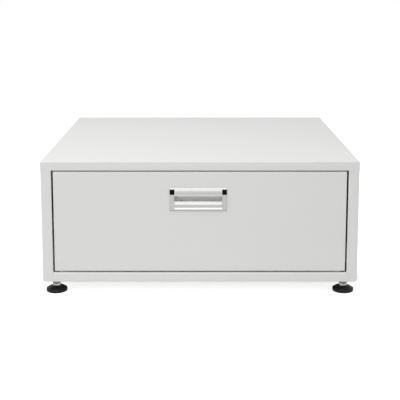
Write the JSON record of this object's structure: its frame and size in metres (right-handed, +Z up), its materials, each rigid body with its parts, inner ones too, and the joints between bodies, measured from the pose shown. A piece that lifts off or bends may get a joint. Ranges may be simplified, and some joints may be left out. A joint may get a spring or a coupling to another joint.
{
  "type": "washer pedestal drawer",
  "caption": "Folded-steel plinth with a flush pull-out drawer on full-extension ball slides and four screw feet, for standing a washing machine on.",
  "frame": {"origin": "middle of the footprint at floor level, feet fully screwed in", "axes": "+X to the right along the width, +Y from the drawer front to the back, +Z up"},
  "size_m": [0.595, 0.5755, 0.256],
  "materials": {
    "cabinet_paint": "fine-textured light grey powder coat",
    "drawer_paint": "fine-textured light grey powder coat",
    "inner_paint": "thin smooth light grey powder coat",
    "zinc_steel": "bright zinc plate",
    "handle_metal": "satin anodised",
    "cap_plastic": "black, semi-gloss",
    "pad_plastic": "black moulded, satin",
    "bumper_rubber": "matte",
    "ball_steel": "ground and polished",
    "cage_steel": "yellow zinc plate"
  },
  "bodies": {
    "cabinet": {"top_panel": "cabinet_paint", "left_side_panel": "cabinet_paint", "right_side_panel": "cabinet_paint", "back_panel": "cabinet_paint", "front_bottom_rail": "cabinet_paint", "rear_bottom_rail": "cabinet_paint", "front_top_brace": "zinc_steel", "rear_top_brace": "zinc_steel", "foot_bracket_front_left": "zinc_steel", "foot_bracket_front_right": "zinc_steel", "foot_bracket_rear_left": "zinc_steel", "foot_bracket_rear_right": "zinc_steel", "foot_weld_nuts": "zinc_steel", "foot_lock_nuts": "zinc_steel", "left_slide_spacer": "zinc_steel", "right_slide_spacer": "zinc_steel", "left_slide_outer": "zinc_steel", "right_slide_outer": "zinc_steel", "outer_slide_screws": "zinc_steel", "slide_bumpers": "bumper_rubber", "back_panel_screws": "zinc_steel"},
    "drawer": {"drawer_front": "drawer_paint", "drawer_front_liner": "inner_paint", "drawer_bottom": "inner_paint", "drawer_left_side": "inner_paint", "drawer_right_side": "inner_paint", "drawer_back": "inner_paint", "drawer_rivets": "zinc_steel", "front_liner_screws": "zinc_steel", "left_slide_inner": "zinc_steel", "right_slide_inner": "zinc_steel", "inner_slide_screws": "zinc_steel", "handle_housing": "handle_metal", "handle_grip": "handle_metal", "handle_left_cap": "cap_plastic", "handle_right_cap": "cap_plastic", "handle_screws": "zinc_steel"},
    "slide_middles": {"left_slide_middle": "zinc_steel", "right_slide_middle": "zinc_steel"},
    "outer_cages": {"left_outer_ball_cage": "cage_steel", "right_outer_ball_cage": "cage_steel", "outer_slide_balls": "ball_steel"},
    "inner_cages": {"left_inner_ball_cage": "cage_steel", "right_inner_ball_cage": "cage_steel", "inner_slide_balls": "ball_steel"},
    "pad_front_left": {"foot_pad_front_left": "pad_plastic"},
    "stud_front_left": {"foot_stud_front_left": "zinc_steel"},
    "pad_front_right": {"foot_pad_front_right": "pad_plastic"},
    "stud_front_right": {"foot_stud_front_right": "zinc_steel"},
    "pad_rear_left": {"foot_pad_rear_left": "pad_plastic"},
    "stud_rear_left": {"foot_stud_rear_left": "zinc_steel"},
    "pad_rear_right": {"foot_pad_rear_right": "pad_plastic"},
    "stud_rear_right": {"foot_stud_rear_right": "zinc_steel"}
  },
  "joints": [
    {"name": "drawer_slide", "type": "slide", "parent": "cabinet", "child": "drawer", "axis": [0, -1, 0], "range_m": [0, 0.43]},
    {"name": "middles_slide", "type": "slide", "parent": "cabinet", "child": "slide_middles", "axis": [0, -1, 0], "range_m": [0, 0.215]},
    {"name": "outer_cages_slide", "type": "slide", "parent": "cabinet", "child": "outer_cages", "axis": [0, -1, 0], "range_m": [0, 0.1075]},
    {"name": "inner_cages_slide", "type": "slide", "parent": "cabinet", "child": "inner_cages", "axis": [0, -1, 0], "range_m": [0, 0.3225]},
    {"name": "pad_slide_front_left", "type": "slide", "parent": "cabinet", "child": "pad_front_left", "axis": [0, 0, -1], "range_m": [0, 0.012]},
    {"name": "stud_turn_front_left", "type": "hinge", "parent": "pad_front_left", "child": "stud_front_left", "pos_m": [-0.2745, -0.262, 0.012], "axis": [0, 0, -1], "range_deg": [0, 2881]},
    {"name": "pad_slide_front_right", "type": "slide", "parent": "cabinet", "child": "pad_front_right", "axis": [0, 0, -1], "range_m": [0, 0.012]},
    {"name": "stud_turn_front_right", "type": "hinge", "parent": "pad_front_right", "child": "stud_front_right", "pos_m": [0.2745, -0.262, 0.012], "axis": [0, 0, -1], "range_deg": [0, 2881]},
    {"name": "pad_slide_rear_left", "type": "slide", "parent": "cabinet", "child": "pad_rear_left", "axis": [0, 0, -1], "range_m": [0, 0.012]},
    {"name": "stud_turn_rear_left", "type": "hinge", "parent": "pad_rear_left", "child": "stud_rear_left", "pos_m": [-0.2745, 0.262, 0.012], "axis": [0, 0, -1], "range_deg": [0, 2881]},
    {"name": "pad_slide_rear_right", "type": "slide", "parent": "cabinet", "child": "pad_rear_right", "axis": [0, 0, -1], "range_m": [0, 0.012]},
    {"name": "stud_turn_rear_right", "type": "hinge", "parent": "pad_rear_right", "child": "stud_rear_right", "pos_m": [0.2745, 0.262, 0.012], "axis": [0, 0, -1], "range_deg": [0, 2881]}
  ],
  "couplings": [
    {"joint": "middles_slide", "follows": "drawer_slide", "ratio": 0.5},
    {"joint": "outer_cages_slide", "follows": "drawer_slide", "ratio": 0.25},
    {"joint": "inner_cages_slide", "follows": "drawer_slide", "ratio": 0.75},
    {"joint": "stud_turn_front_left", "follows": "pad_slide_front_left", "rad_per_m": 4188.8},
    {"joint": "stud_turn_front_right", "follows": "pad_slide_front_right", "rad_per_m": 4188.8},
    {"joint": "stud_turn_rear_left", "follows": "pad_slide_rear_left", "rad_per_m": 4188.8},
    {"joint": "stud_turn_rear_right", "follows": "pad_slide_rear_right", "rad_per_m": 4188.8}
  ]
}
